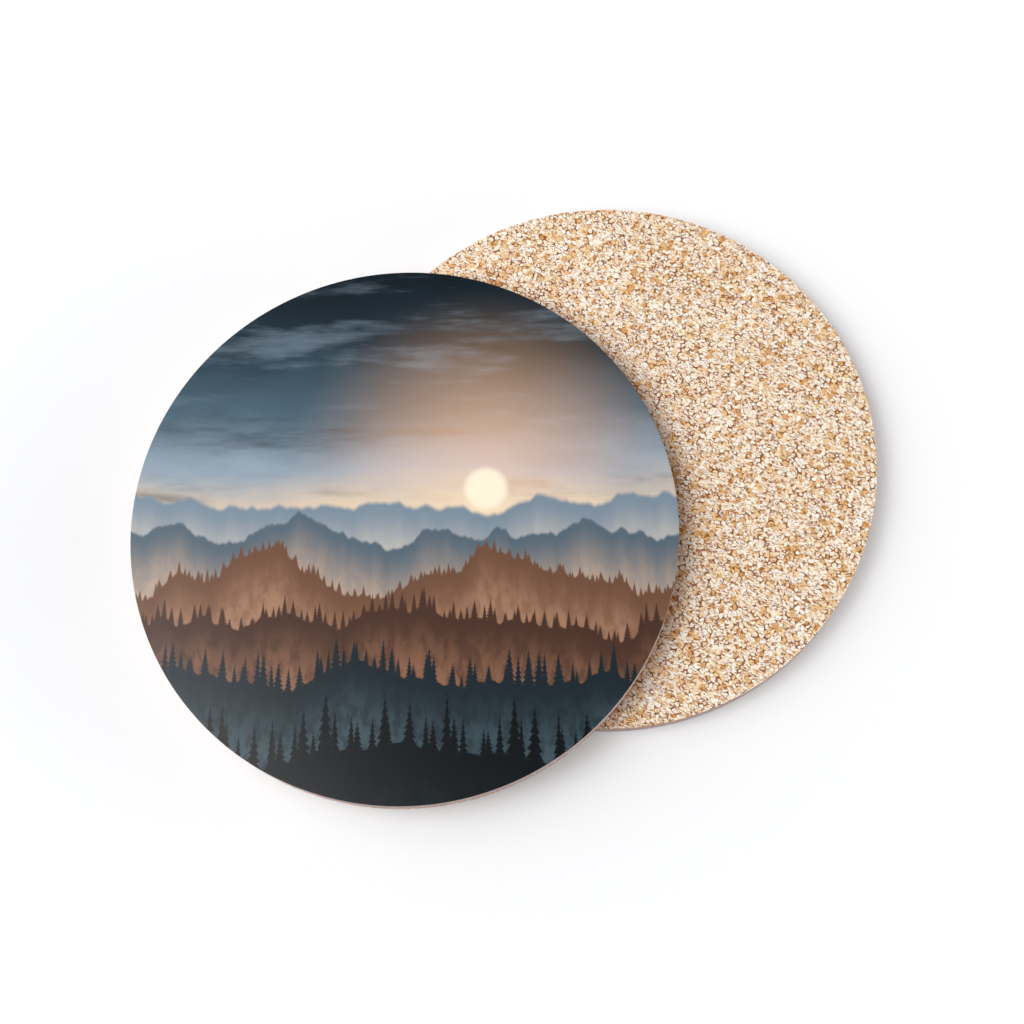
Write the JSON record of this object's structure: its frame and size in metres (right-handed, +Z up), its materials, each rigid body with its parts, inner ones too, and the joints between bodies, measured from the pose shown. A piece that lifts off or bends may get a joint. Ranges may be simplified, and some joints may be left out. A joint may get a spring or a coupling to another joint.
{
  "type": "drink coaster",
  "caption": "Round cork-backed hardboard drink coaster with a glossy printed face, lapped over its turned-over mate and free to lift off.",
  "frame": {"origin": "middle of the lower coaster's printed face, where it lies on the table", "axes": "+Z up, +X from the upper coaster's centre towards the lower one's, +Y across the lap"},
  "size_m": [0.1325, 0.095, 0.008],
  "materials": {
    "gloss_coat": "gloss",
    "print": "satin",
    "ground_coat": "matte",
    "hardboard": "matte",
    "glue": "satin",
    "cork": "matte"
  },
  "bodies": {
    "lower_coaster": {"lower_gloss_coat": "gloss_coat", "lower_print_layer": "print", "lower_ground_coat": "ground_coat", "lower_hardboard": "hardboard", "lower_glue_film": "glue", "lower_cork_pad": "cork"},
    "upper_coaster": {"upper_cork_pad": "cork", "upper_glue_film": "glue", "upper_hardboard": "hardboard", "upper_ground_coat": "ground_coat", "upper_print_layer": "print", "upper_gloss_coat": "gloss_coat"}
  },
  "joints": [
    {"name": "upper_lift", "type": "slide", "parent": "lower_coaster", "child": "upper_coaster", "axis": [0, 0, 1], "range_m": [0, 0.04]}
  ]
}
